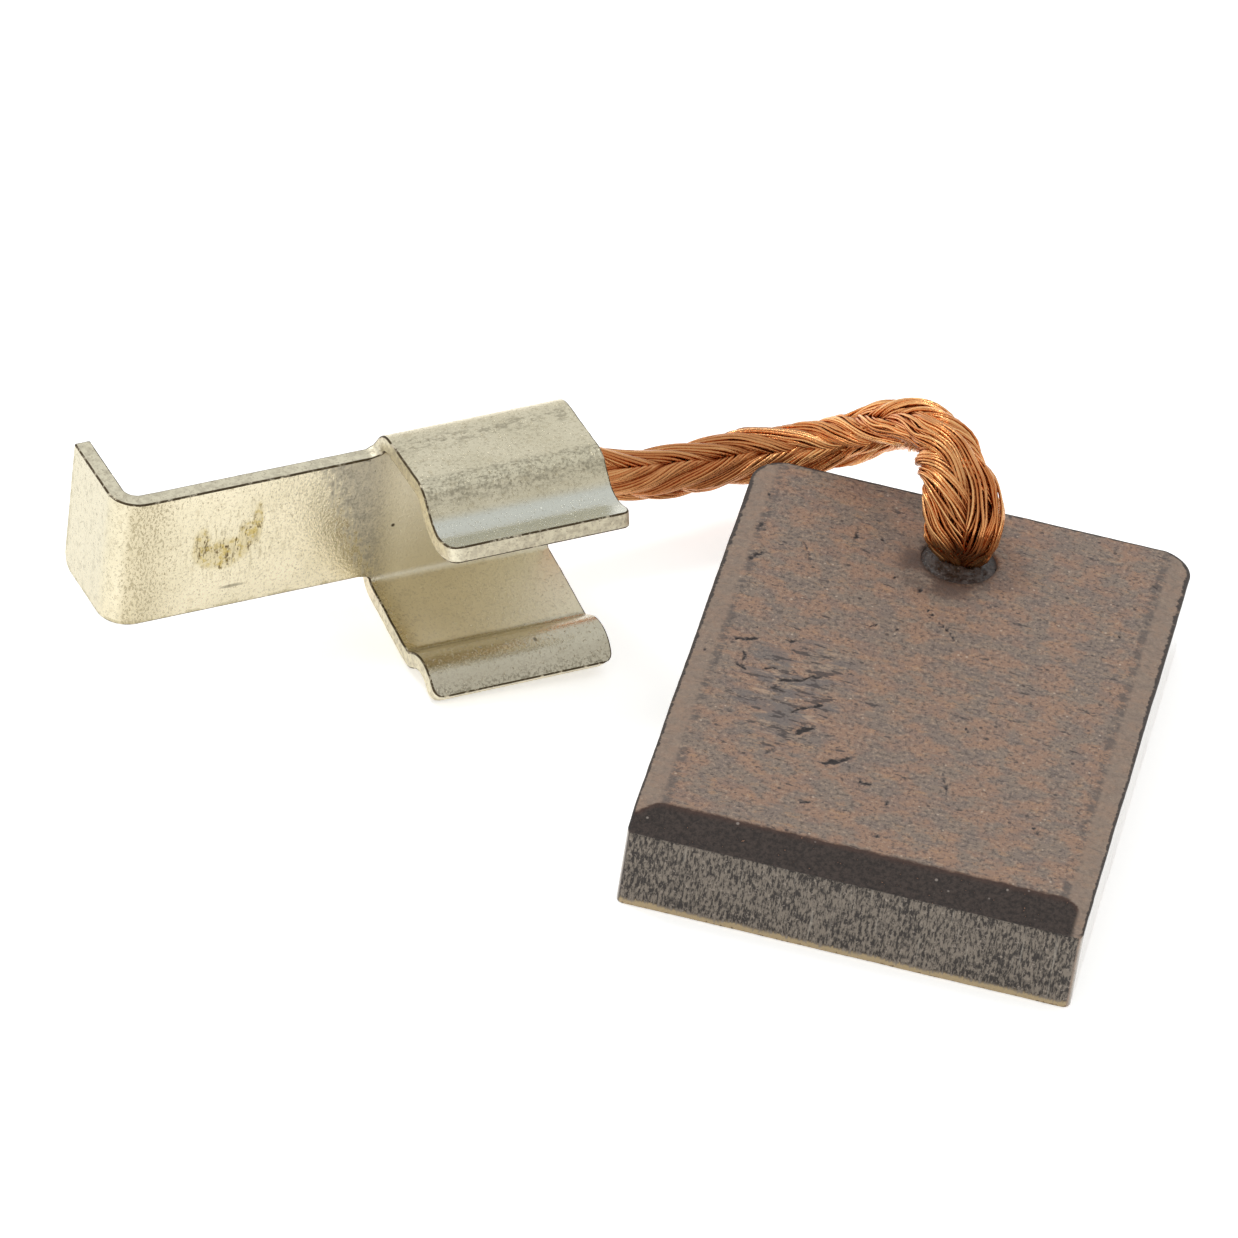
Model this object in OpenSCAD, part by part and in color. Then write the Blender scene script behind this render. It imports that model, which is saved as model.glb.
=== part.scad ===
// Carbon brush: a flat pressed block, a plaited copper pigtail tamped into
// its top face, and a folded spring-clip terminal welded to the free end.
// Millimetres. The block lies on its large face with the running face
// toward -Y; the origin is the middle of the block's underside.

/* [Brush block] */
// Width of the block, side to side
block_w = 20; // [17:0.5:26]
// Length of the block, running face to back
block_l = 28; // [23:0.5:36]
// Thickness of the block
block_t = 4.4; // [3.8:0.1:6]
// Radius of the two back corners, seen from above
back_corner_r = 1.4; // [0.6:0.1:2.5]
// Radius of the two front corners, seen from above
front_corner_r = 0.35; // [0.2:0.05:0.8]
// Length of the bevel behind the running face
nose_bevel_l = 1.9; // [1:0.1:3]
// Drop of the bevel at the running face
nose_bevel_drop = 0.62; // [0.3:0.02:1.2]
// Width of the shallow bevel along each side
side_bevel_w = 1.4; // [0.8:0.1:2]
// Drop of the shallow side bevels at the edge
side_bevel_drop = 0.16; // [0.08:0.02:0.3]

/* [Tamped hole] */
// Diameter of the hole that holds the pigtail
hole_d = 3.4; // [3:0.1:4.4]
// Depth of the hole below the top face
hole_depth = 3.1; // [2:0.1:3.3]
// Distance from the back of the block to the hole's middle
hole_inset = 4.2; // [3.4:0.1:6]
// Depth of the tamped compound below the top face
tamp_recess = 0.15; // [0.05:0.05:0.4]

/* [Pigtail] */
// Diameter of the plaited pigtail
pigtail_d = 2.5; // [1.8:0.1:2.8]
// Length of the flat welded end of the pigtail
weld_l = 4; // [3:0.25:5]
// Height of the flat welded end
weld_h = 3.4; // [2.8:0.1:4.2]
// Thickness of the flat welded end
weld_t = 1.1; // [0.8:0.05:1.6]

/* [Terminal sheet] */
// Thickness of the tinned sheet
sheet_t = 0.75; // [0.6:0.05:1]
// Inner radius of the folds beside the strip
bend_r = 0.4; // [0.3:0.05:0.7]
// Width of the flat strip, and of the flat back of the clip
strip_w = 6.6; // [5.8:0.1:7.6]
// Length of the flat strip, outside of the tab to the clip
strip_l = 12.5; // [11:0.25:16]
// Length of the end tab, front of the strip to its tip
tab_l = 5; // [3.5:0.25:7]
// Inner radius of the bend between tab and strip
tab_bend_r = 0.6; // [0.4:0.05:1]
// Radius of the lower corner of the tab
tab_corner_r = 0.7; // [0.3:0.05:1.2]
// Radius of the hollow fillets between strip and clip
web_r = 0.45; // [0.3:0.05:0.7]

/* [Spring clip] */
// Length of the clip along the strip
clip_l = 8.7; // [7:0.1:12]
// Inner radius of the soft bends in the upper flange
dip_r = 0.55; // [0.4:0.05:0.8]
// Flat length of the upper flange
upper_flat = 3; // [2.4:0.1:4.5]
// Inward slope of the upper flange, degrees
upper_dip = 42; // [30:1:48]
// Length of that slope
upper_slope_l = 1.4; // [0.9:0.1:1.8]
// Outward flare of the upper lip, degrees
upper_flare = 18; // [8:1:28]
// Length of the upper lip
upper_lip = 1.4; // [0.8:0.1:2.2]
// Outward lean of the lower flange, degrees
lower_lean = 10; // [4:1:12]
// Flat length of the lower flange
lower_flat = 3.9; // [2.6:0.1:4.8]
// Inward slope of the lower ridge, degrees
lower_rise = 34; // [24:1:42]
// Length of that slope
lower_rise_l = 0.5; // [0.3:0.1:1]
// Inner radius of the ridge's crest
crest_r = 0.8; // [0.5:0.05:1.2]
// Outward flare of the lower lip, degrees
lower_flare = 40; // [26:1:44]
// Length of the lower lip
lower_lip = 0.9; // [0.5:0.1:1.4]
// Radius of the corners of both lips, seen from above
lip_corner_r = 0.5; // [0.3:0.05:1]

/* [Lay of the parts] */
// Turn of the terminal from the block's width, degrees
terminal_turn = 37.5; // [32:0.5:42]
// Lift of the terminal toward the clip, degrees
terminal_lift = 2; // [1:0.25:3]
// Space between the block's side and the clip's back end, side to side
clip_aside = 7.9; // [6.5:0.1:10]
// Distance of the clip's back end in front of the block's back
clip_ahead = 6.75; // [5:0.25:9]

/* [Hidden] */
$fn = 48;
left_x = -block_w / 2;
back_y = block_l / 2;
corner = [left_x, back_y, block_t];
hole_at = [0, back_y - hole_inset, block_t];
tamp_top = block_t - tamp_recess;
ridge_r = 0.2;
fold_out = bend_r + sheet_t;
clip_mid = strip_w / 2;
clip_end = strip_l + clip_l;

// Stations along a bent sheet's path, each [place, heading]. A step is
// [straight length, turn, inner radius]; the sheet lies to the left of its path
// and positive turns go left
bend_step = 7.5;
function left_of(heading) = [-sin(heading), cos(heading)];
function bend_stations(at, heading, turn, r) =
  let (n = max(1, ceil(abs(turn) / bend_step)),
       path_r = turn > 0 ? -(r + sheet_t) : r,
       centre = at - path_r * left_of(heading))
  [for (k = [0 : n]) let (h = heading + turn * k / n) [centre + path_r * left_of(h), h]];
function walk(steps, i, at, heading) =
  i == len(steps) ? []
  : let (far = at + steps[i][0] * [cos(heading), sin(heading)],
         bend = steps[i][1] == 0 ? [[far, heading]]
           : bend_stations(far, heading, steps[i][1], steps[i][2]),
         end = bend[len(bend) - 1])
  concat([[at, heading]], bend, walk(steps, i + 1, end[0], end[1]));
function right_face(stations) = [for (s = stations) s[0]];
function left_face(stations) = [for (s = stations) s[0] + sheet_t * left_of(s[1])];
function reversed(list) = [for (i = [len(list) - 1 : -1 : 0]) list[i]];
function last_of(list) = list[len(list) - 1];
function mirrored(list) = [for (p = list) [p[0], -p[1]]];

// Upper half of the clip's section, from the middle of its back wall
upper = walk([
  [clip_mid, -90, bend_r],
  [upper_flat, -upper_dip, dip_r],
  [upper_slope_l, upper_dip + upper_flare, dip_r],
  [upper_lip, 0, 0]
], 0, [0, 0], 90);

// Lower half, worked out as if upward, then mirrored
lower = walk([
  [clip_mid, lower_lean - 90, bend_r],
  [lower_flat, -lower_lean - lower_rise, ridge_r],
  [lower_rise_l, lower_rise + lower_flare, crest_r],
  [lower_lip, 0, 0]
], 0, [0, 0], 90);

// Section of the clip: forward is +X, up is +Y, zero at the front of the back
// wall and at half its height
clip_outline = concat(
  reversed(mirrored(right_face(lower))), right_face(upper),
  reversed(left_face(upper)), mirrored(left_face(lower)));

// Reach of each lip in front of the back wall, and depth of the lower lip's edge
upper_reach = max(last_of(right_face(upper))[0], last_of(left_face(upper))[0]);
lower_reach = max(last_of(right_face(lower))[0], last_of(left_face(lower))[0]);
lip_low = clip_mid - last_of(left_face(lower))[1];

// Tab and strip seen from above, bent from one length of sheet
tab_strip = walk([
  [tab_l - tab_bend_r - sheet_t, 90, tab_bend_r],
  [strip_l - tab_bend_r - sheet_t, 0, 0]
], 0, [0, tab_l], -90);

// The terminal is tipped up toward the clip, then turned about the upright
function turned(p) =
  let (s = p[0] * cos(terminal_lift) - p[2] * sin(terminal_lift),
       u = p[0] * sin(terminal_lift) + p[2] * cos(terminal_lift))
  [s * cos(terminal_turn) - p[1] * sin(terminal_turn),
   s * sin(terminal_turn) + p[1] * cos(terminal_turn),
   u];

// Place of the strip's lower outer corner: the lower lip's edge touches the
// table and the back end of the clip keeps its distance from the block
lip_touch = turned([strip_l, 0, lip_low]);
back_end = turned([clip_end, 0, 0]);
terminal_at = [
  corner[0] - clip_aside - back_end[0],
  corner[1] - clip_ahead - back_end[1],
  -lip_touch[2]
];
function on_terminal(p) = terminal_at + turned(p);

// Weld on the back of the strip, a taper, and the round pigtail beside the sheet
weld_x = 3.4;
weld_z = strip_w / 2;
taper_l = 2.2;
cord_gap = 0.15;
cord_y = sheet_t + cord_gap + pigtail_d / 2;
cord_x = weld_x + weld_l + taper_l;

// Route of the pigtail's middle: along the back of the clip, behind the
// block's corner, up in a tight arch and down into the tamped hole
route = [
  on_terminal([cord_x, cord_y, weld_z]),
  on_terminal([cord_x + 1, cord_y, weld_z]),
  on_terminal([clip_end - 5, cord_y, weld_z]),
  on_terminal([clip_end - 1, cord_y, weld_z]),
  corner + [-5.7, -3, -0.6],
  corner + [-3.2, -1, -1],
  corner + [-0.9, 1.1, -1.1],
  corner + [1.6, 2, -0.6],
  corner + [3.9, 1.9, 0.8],
  hole_at + [-3.8, 4.4, 3.3],
  hole_at + [-2.1, 2.6, 4.2],
  hole_at + [-0.8, 0.9, 3.6],
  hole_at + [-0.1, 0.1, 1.9],
  hole_at + [0, 0, 0.6],
  [hole_at[0], hole_at[1], tamp_top]
];

// Smooth curve through the route, a few steps to each stretch
steps_each = 6;
last = len(route) - 1;
function slope_at(i) = (route[min(i + 1, last)] - route[max(i - 1, 0)]) / 2;
function on_curve(i, u) =
  route[i] * (2 * u ^ 3 - 3 * u ^ 2 + 1) + slope_at(i) * (u ^ 3 - 2 * u ^ 2 + u)
  + route[i + 1] * (3 * u ^ 2 - 2 * u ^ 3) + slope_at(i + 1) * (u ^ 3 - u ^ 2);
middle = concat(
  [route[0]],
  [for (i = [1 : last - 2]) for (k = [0 : steps_each - 1]) on_curve(i, k / steps_each)],
  [route[last - 1], route[last]]
);
function unit(v) = v / norm(v);
function heading_at(k) =
  k == 0 ? unit(middle[1] - middle[0])
  : k == len(middle) - 1 ? unit(middle[k] - middle[k - 1])
  : unit(unit(middle[k + 1] - middle[k]) + unit(middle[k] - middle[k - 1]));

// Side vector carried along the curve without twist
function carry(v, t) = unit(v - (v * t) * t);
function sides(k) = k == 0 ? [carry([0, 0, 1], heading_at(0))]
  : let (s = sides(k - 1)) concat(s, [carry(s[k - 1], heading_at(k))]);
side = sides(len(middle) - 1);

// ---- brush block -----------------------------------------------------------

// Outline of the block seen from above, all four corners rounded
module block_outline() {
  for (s = [-1, 1]) {
    translate([s * (block_w / 2 - back_corner_r), back_y - back_corner_r])
      circle(r = back_corner_r);
    translate([s * (block_w / 2 - front_corner_r), front_corner_r - back_y])
      circle(r = front_corner_r);
  }
  difference() {
    square([block_w, block_l], center = true);
    for (s = [-1, 1]) {
      translate([s * block_w / 2, back_y])
        square(2 * back_corner_r, center = true);
      translate([s * block_w / 2, -back_y])
        square(2 * front_corner_r, center = true);
    }
  }
}

// Wedge that is planed off an edge: run is how far in, drop how far down
module planed_edge(run, drop, long) {
  rotate([90, 0, 0])
    linear_extrude(height = long, center = true)
      polygon([[-1, -drop * (1 + 1 / run)], [run, 0], [run, 1], [-1, 1]]);
}

module block() {
  color([0.42, 0.36, 0.32])
  difference() {
    linear_extrude(height = block_t) block_outline();
    // bevel behind the running face
    translate([0, -back_y, block_t])
      rotate([0, 0, 90])
        planed_edge(nose_bevel_l, nose_bevel_drop, block_w + 2);
    // shallow bevels along both sides
    translate([left_x, 0, block_t])
      planed_edge(side_bevel_w, side_bevel_drop, block_l + 2);
    translate([-left_x, 0, block_t])
      rotate([0, 0, 180])
        planed_edge(side_bevel_w, side_bevel_drop, block_l + 2);
    // drilled hole with its cone-shaped bottom
    translate([hole_at[0], hole_at[1], block_t - hole_depth])
      cylinder(d = hole_d, h = hole_depth + 1);
    translate([hole_at[0], hole_at[1], block_t - hole_depth - hole_d / 8])
      cylinder(d1 = 0, d2 = hole_d, h = hole_d / 8);
  }
}

// ---- tamped compound -------------------------------------------------------

module tamping() {
  color([0.16, 0.15, 0.15]) {
    translate([hole_at[0], hole_at[1], block_t - hole_depth])
      cylinder(d = hole_d, h = hole_depth - tamp_recess);
    translate([hole_at[0], hole_at[1], block_t - hole_depth - hole_d / 8])
      cylinder(d1 = 0, d2 = hole_d, h = hole_d / 8);
  }
}

// ---- pigtail ---------------------------------------------------------------

// Plain tube along the middle line, eight sides, closed by a face at each end
module pigtail() {
  n = 8;
  rings = len(middle);
  r = pigtail_d / 2;
  pts = [for (k = [0 : rings - 1]) for (j = [0 : n - 1])
    let (t = heading_at(k), s = side[k], w = cross(t, s), a = 360 * j / n)
    middle[k] + r * (cos(a) * s + sin(a) * w)];
  faces = concat(
    [[for (j = [0 : n - 1]) j]],
    [for (k = [0 : rings - 2]) for (j = [0 : n - 1])
      [k * n + j, (k + 1) * n + j, (k + 1) * n + (j + 1) % n, k * n + (j + 1) % n]],
    [[for (j = [n - 1 : -1 : 0]) (rings - 1) * n + j]]
  );
  color([0.72, 0.45, 0.27])
    polyhedron(points = pts, faces = faces);
}

module on_table() {
  translate(terminal_at)
    rotate([0, -terminal_lift, terminal_turn])
      children();
}

// Flat end of the pigtail, pressed and welded to the back of the strip, with
// the short taper that brings the wires back to the round
module welded_end() {
  color([0.66, 0.42, 0.27])
  on_table() {
    translate([weld_x, sheet_t, weld_z - weld_h / 2])
      cube([weld_l, weld_t, weld_h]);
    hull() {
      translate([weld_x + weld_l - 0.1, sheet_t, weld_z - weld_h / 2])
        cube([0.1, weld_t, weld_h]);
      translate([cord_x - 0.1, cord_y, weld_z])
        rotate([0, 90, 0])
          cylinder(d = pigtail_d, h = 0.1, $fn = 16);
    }
  }
}

// ---- terminal --------------------------------------------------------------

// What is cut away to round a corner: the far quarter of a square less its circle
module corner_waste(r) {
  difference() {
    square(r + 2);
    circle(r = r);
  }
}

// Upright tools that round both corners of a lip which reaches so far forward
module lip_waste(reach, low, high) {
  for (s = [-1, 1])
    translate([strip_l + clip_l / 2 + s * (clip_l / 2 - lip_corner_r),
               lip_corner_r - reach, low])
      mirror([s < 0 ? 1 : 0, 0, 0])
        mirror([0, 1, 0])
          linear_extrude(height = high - low) corner_waste(lip_corner_r);
}

module clip() {
  difference() {
    translate([strip_l, 0, clip_mid])
      rotate([90, 0, 90])
        linear_extrude(height = clip_l)
          mirror([1, 0]) polygon(clip_outline);
    lip_waste(upper_reach, clip_mid, strip_w + 4);
    lip_waste(lower_reach, lip_low - 2, clip_mid);
  }
}

module tab_and_strip() {
  difference() {
    linear_extrude(height = strip_w)
      polygon(concat(right_face(tab_strip), reversed(left_face(tab_strip))));
    // rounded lower corner of the tab
    translate([-1, tab_l - tab_corner_r, tab_corner_r])
      rotate([90, 0, 90])
        mirror([0, 1])
          linear_extrude(height = sheet_t + 2) corner_waste(tab_corner_r);
  }
}

// Web that joins strip and clip, with a small hollow fillet above and below
module web() {
  translate([0, sheet_t, 0])
    rotate([90, 0, 0])
      linear_extrude(height = sheet_t) {
        translate([strip_l - 1, 0]) square([2, strip_w]);
        difference() {
          translate([strip_l - web_r, strip_w - 0.2]) square([web_r, web_r + 0.2]);
          translate([strip_l - web_r, strip_w + web_r]) circle(r = web_r);
        }
        difference() {
          translate([strip_l - web_r, -web_r]) square([web_r, web_r + 0.2]);
          translate([strip_l - web_r, -web_r]) circle(r = web_r);
        }
      }
}

module terminal() {
  color([0.8, 0.78, 0.7])
  on_table() {
    tab_and_strip();
    web();
    clip();
  }
}

block();
tamping();
pigtail();
welded_end();
terminal();
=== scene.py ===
import math

import bmesh
import bpy
import numpy as np
from mathutils import Matrix, Vector


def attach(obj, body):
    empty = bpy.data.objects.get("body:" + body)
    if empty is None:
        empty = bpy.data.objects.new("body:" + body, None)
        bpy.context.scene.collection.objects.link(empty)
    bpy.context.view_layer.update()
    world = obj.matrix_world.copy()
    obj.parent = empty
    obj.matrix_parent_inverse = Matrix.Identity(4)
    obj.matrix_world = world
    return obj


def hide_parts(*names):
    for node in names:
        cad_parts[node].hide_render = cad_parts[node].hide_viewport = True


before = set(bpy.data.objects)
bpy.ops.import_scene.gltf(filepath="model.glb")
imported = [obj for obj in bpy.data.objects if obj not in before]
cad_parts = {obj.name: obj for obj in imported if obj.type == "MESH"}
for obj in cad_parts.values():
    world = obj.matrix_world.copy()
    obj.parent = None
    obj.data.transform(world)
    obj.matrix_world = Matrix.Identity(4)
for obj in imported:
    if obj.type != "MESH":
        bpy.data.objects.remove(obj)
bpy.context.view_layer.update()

# ---- camera ----------------------------------------------------------------
# A long lens looks down at the brush from in front, with the block's running
# face toward it and the terminal on the left.

MM = 0.001
VIEW_TARGET = Vector((-12.582, -7.073, 9.601)) * MM
VIEW_AXIS = Vector((-0.089704, 0.796090, -0.598492))
VIEW_RIGHT = Vector((0.969578, 0.207216, 0.130306))
VIEW_DISTANCE = 514.243 * MM
LENS_MM = 348.95
SENSOR_MM = 36.0
NEAREST, FARTHEST = 0.05, 20.0

view_axis = VIEW_AXIS.normalized()
view_up = VIEW_RIGHT.cross(view_axis).normalized()
view_right = view_axis.cross(view_up)
camera = bpy.data.objects.new("camera", bpy.data.cameras.new("camera"))
camera.data.lens = LENS_MM
camera.data.sensor_width = SENSOR_MM
camera.data.clip_start = NEAREST
camera.data.clip_end = FARTHEST
camera.matrix_world = Matrix.Translation(VIEW_TARGET - VIEW_DISTANCE * view_axis) @ (
    Matrix((view_right, view_up, -view_axis)).transposed().to_4x4())
bpy.context.scene.collection.objects.link(camera)
bpy.context.scene.camera = camera


# ---- pigtail ---------------------------------------------------------------
# A round plait of bare copper wires. Eight ribbons of wires wind one way and
# eight the other, and each goes over four and under four, so four columns of
# chevrons run along it. It is tight at the terminal and loose at the block.

ROUTE = MM * np.array([
    (-28.4975, 1.82827, 5.20664), (-27.7046, 2.43666, 5.24154),
    (-23.2646, 5.84365, 5.43697), (-20.0931, 8.27721, 5.57657),
    (-15.7, 11.0, 3.8), (-13.2, 13.0, 3.4), (-10.9, 15.1, 3.3), (-8.4, 16.0, 3.8),
    (-6.1, 15.9, 5.2), (-3.8, 14.2, 7.7), (-2.1, 12.4, 8.6), (-0.8, 10.7, 8.0),
    (-0.1, 9.9, 6.3), (0.0, 9.8, 5.0), (0.0, 9.8, 4.25)])
ROUTE_STEPS, STATIONS = 24, 172
# Ribbons that wind each way, and wires in a ribbon
RIBBONS, WIRES = 8, 16
WIRE_R, WIRE_SIDES = 0.07 * MM, 4
RIBBON_SPACING = 2.45 * MM
# Length in which the wires of a ribbon turn once about each other
WIRE_LAY = 31 * MM
# How far a ribbon dives under the others, and how sharply it does so
DIVE_MM, DIVE_STEEP = 0.40, 2.6
# Half a ribbon's thickness, how far its middle stands proud, and how much of the
# plait's radius stays clear at its core
RIBBON_HALF_MM, CROWN, CORE_SHARE = 0.15, 0.13 * MM, 0.12
# Lengths in mm of the waves that each wire takes sideways and outward, and how high
# they are where the plait is tight, with what looseness adds
SIDEWAYS_WAVES, SIDEWAYS_MM, SIDEWAYS_LOOSE_MM = (11, 5, 2.6), 0.004, 0.034
OUTWARD_WAVES, OUTWARD_MM, OUTWARD_LOOSE_MM = (9, 3.4), 0.004, 0.03
# Whole ribbons rise and fall too, where the plait is wider than this
RIBBON_WAVE, RIBBON_RISE, RISE_FROM_R = 6.5 * MM, 0.15 * MM, 1.1 * MM
# Pressed wires read as thicker, and loose ribbons as thinner
PRESSED_EXTRA, LOOSE_THINNER_MM = 0.03 * MM, 0.05
# Depth below the plait's outside at which the painted shade between the wires is darkest
FULL_SHADE_DEPTH = 0.6 * MM

# Along the plait, in mm: outer radius, place of the chevrons' ridge in degrees,
# looseness of the wires, and how far out the front ones stay as they enter the hole
GIRTH = [(0, 1.04), (14, 1.1), (19, 1.2), (24, 1.32), (28, 1.24), (31, 1.14), (34, 1.24),
         (36, 1.45), (37.3, 1.72), (38.5, 1.9), (39.3, 1.78), (40.0, 1.5), (40.8, 0.95)]
RIDGE = [(0, 105), (17.5, 111), (25, 147), (28, 165), (31, 198), (34, 190), (36.5, 160),
         (41, 168)]
LOOSE = [(0, 0.0), (20, 0.1), (25, 0.45), (30, 0.8), (39.5, 1.0), (40.8, 0.3)]
TUCKED = [(0, 1), (38.4, 1), (40.8, 0.3)]


def smooth_curve(points, steps):
    """Cubic through the points: each stretch leaves and arrives along half the
    line between its neighbours, as the cord's solid does."""
    slope = np.gradient(points, axis=0)
    slope[0], slope[-1] = slope[0] / 2, slope[-1] / 2
    u = np.linspace(0, 1, steps, endpoint=False)[:, None]
    a, b, m, n = points[:-1, None], points[1:, None], slope[:-1, None], slope[1:, None]
    curve = (a * (2 * u**3 - 3 * u**2 + 1) + m * (u**3 - 2 * u**2 + u)
             + b * (3 * u**2 - 2 * u**3) + n * (u**3 - u**2))
    return np.vstack([curve.reshape(-1, 3), points[-1:]])


def evenly_spaced(curve, count):
    """The curve again as points at equal steps of its length, and their distances."""
    along = np.concatenate([[0], np.cumsum(np.linalg.norm(np.diff(curve, axis=0), axis=1))])
    at = np.linspace(0, along[-1], count)
    return np.stack([np.interp(at, along, curve[:, k]) for k in range(3)], axis=1), at


def eased(table, at):
    """Values from a table of (millimetres along, value), blended by half a cosine."""
    place, value = np.array(table, float).T
    k = np.clip(np.searchsorted(place, at / MM, side="right") - 1, 0, len(place) - 2)
    t = np.clip((at / MM - place[k]) / (place[k + 1] - place[k]), 0, 1)
    return value[k] + (value[k + 1] - value[k]) * (0.5 - 0.5 * np.cos(np.pi * t))


def unit(v):
    """Vectors divided by their own lengths."""
    return v / np.linalg.norm(v, axis=-1, keepdims=True)


def grid_faces(rows, columns, closed):
    """Quads between neighbouring rows of points; closed joins the last column to the
    first."""
    i, j = np.meshgrid(np.arange(rows - 1), np.arange(columns if closed else columns - 1),
                       indexing="ij")
    k = (j + 1) % columns
    quads = np.stack([i * columns + j, i * columns + k,
                      (i + 1) * columns + k, (i + 1) * columns + j], axis=-1)
    return quads.reshape(-1, 4)


def new_piece(name, finish, points, quads, values=None):
    """A smooth mesh object from arrays of points and quads, with its named point values."""
    mesh = bpy.data.meshes.new(name)
    mesh.vertices.add(len(points))
    mesh.vertices.foreach_set("co", points.astype(np.float32).ravel())
    mesh.loops.add(quads.size)
    mesh.loops.foreach_set("vertex_index", quads.astype(np.int32).ravel())
    mesh.polygons.add(len(quads))
    mesh.polygons.foreach_set("loop_start",
                              np.arange(len(quads), dtype=np.int32) * quads.shape[1])
    mesh.polygons.foreach_set("use_smooth", np.ones(len(quads), bool))
    for title, numbers in (values or {}).items():
        mesh.attributes.new(title, "FLOAT", "POINT").data.foreach_set(
            "value", numbers.astype(np.float32).ravel())
    mesh.update(calc_edges=True)
    mesh.validate()
    mesh.materials.append(finish)
    piece = bpy.data.objects.new(name, mesh)
    bpy.context.scene.collection.objects.link(piece)
    return piece


middle, along = evenly_spaced(smooth_curve(ROUTE, ROUTE_STEPS), STATIONS)
heading = unit(np.gradient(middle, axis=0))
BACKWARD = np.array([0.0, 1.0, 0.0])
out_side = unit(BACKWARD - (heading @ BACKWARD)[:, None] * heading)
up_side = np.cross(heading, out_side)
girth = eased(GIRTH, along) * MM
ridge = np.radians(eased(RIDGE, along))
loose = eased(LOOSE, along)
tucked = eased(TUCKED, along)


def plaited_wires(way, seed):
    """Wires of the ribbons that wind one way (way is 1 or -1).
    A ribbon turns 45 degrees for each spacing along the plait. Across it the wires
    lie on a flat ellipse. Their distance from the middle is the girth where
    way * sin(2 * angle past the ridge) is negative, and drops by the thickness
    of the other ribbons where it is positive. Slow waves let each wire wander, and
    close to the hole the front ones are tucked in."""
    random = np.random.default_rng(seed)
    ribbon = np.arange(RIBBONS)[:, None, None]
    wire = np.arange(WIRES)[None, :, None]
    each_wire, each_ribbon = (RIBBONS, WIRES, 1), (RIBBONS, 1, 1)

    def drift(lengths):
        """A sum of sines along the plait, each a little longer or shorter than its
        nominal length and with a start of its own for each wire."""
        return sum(np.sin(
            2 * np.pi * along / (random.uniform(0.7, 1.3, each_wire) * length * MM)
            + random.uniform(0, 2 * np.pi, each_wire)) for length in lengths)

    sideways, outward_drift = drift(SIDEWAYS_WAVES), drift(OUTWARD_WAVES)
    ribbon_start = random.uniform(0, 2 * np.pi, each_ribbon)
    ribbon_rise = np.sin(2 * np.pi * along / RIBBON_WAVE + ribbon_start)

    turn = along * (2 * np.pi / RIBBONS / RIBBON_SPACING)
    slant = np.arctan(girth * np.gradient(turn, along))
    half_width = 0.5 * 2 * np.pi * girth / RIBBONS * np.cos(slant) - WIRE_R
    half_height = (RIBBON_HALF_MM - LOOSE_THINNER_MM * loose) * MM
    thick = WIRE_R + PRESSED_EXTRA * (1 - loose)

    lay = 2 * np.pi * wire / WIRES + 2 * np.pi * along / WIRE_LAY + ribbon_start
    across = (half_width * np.cos(lay)
              + (SIDEWAYS_MM + SIDEWAYS_LOOSE_MM * loose) * MM * sideways)
    height = (half_height * np.sin(lay) - CROWN * np.cos(lay) ** 2
              + (OUTWARD_MM + OUTWARD_LOOSE_MM * loose) * MM * outward_drift)
    past_ridge = way * turn + 2 * np.pi * ribbon / RIBBONS + across / (girth * np.cos(slant))
    over = np.tanh(-DIVE_STEEP * way * np.sin(2 * past_ridge)) / np.tanh(DIVE_STEEP)
    depth = (0.5 - 0.5 * over) * (DIVE_MM - LOOSE_THINNER_MM * loose) * MM
    distance = girth - half_height - WIRE_R - depth + height
    distance = distance + RIBBON_RISE * loose * ribbon_rise * (girth > RISE_FROM_R)
    distance = np.maximum(distance, CORE_SHARE * girth)
    angle = ridge + past_ridge

    offset = distance[..., None] * (np.cos(angle)[..., None] * out_side
                                    + np.sin(angle)[..., None] * up_side)
    offset[..., 1] = np.where(offset[..., 1] < 0, offset[..., 1] * tucked, offset[..., 1])
    centre = middle + offset
    run = unit(np.gradient(centre, axis=2))
    beside = unit(np.cross(run, unit(centre - middle)))
    above = np.cross(beside, run)
    spin = 2 * np.pi * (np.arange(WIRE_SIDES) + 0.5) / WIRE_SIDES
    ring = (np.cos(spin)[:, None] * above[..., None, :]
            + np.sin(spin)[:, None] * beside[..., None, :])
    points = centre[..., None, :] + thick[:, None, None] * ring

    caps = np.array([np.arange(WIRE_SIDES)[::-1],
                     (STATIONS - 1) * WIRE_SIDES + np.arange(WIRE_SIDES)])
    one_wire = np.vstack([grid_faces(STATIONS, WIRE_SIDES, True), caps])
    first_point = np.arange(RIBBONS * WIRES) * STATIONS * WIRE_SIDES
    quads = one_wire[None] + first_point[:, None, None]
    tone = np.broadcast_to(random.uniform(0, 1, (RIBBONS, WIRES, 1, 1)), points.shape[:-1])
    # How deep each wire lies below the plait's outside, which sets the painted shade between the
    # wires
    deep = np.broadcast_to(((girth - distance) / FULL_SHADE_DEPTH)[..., None], points.shape[:-1])
    return points.reshape(-1, 3), quads.reshape(-1, 4), {
        "tone": tone.reshape(-1), "deep": np.clip(deep, 0, 1).reshape(-1)}


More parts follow.
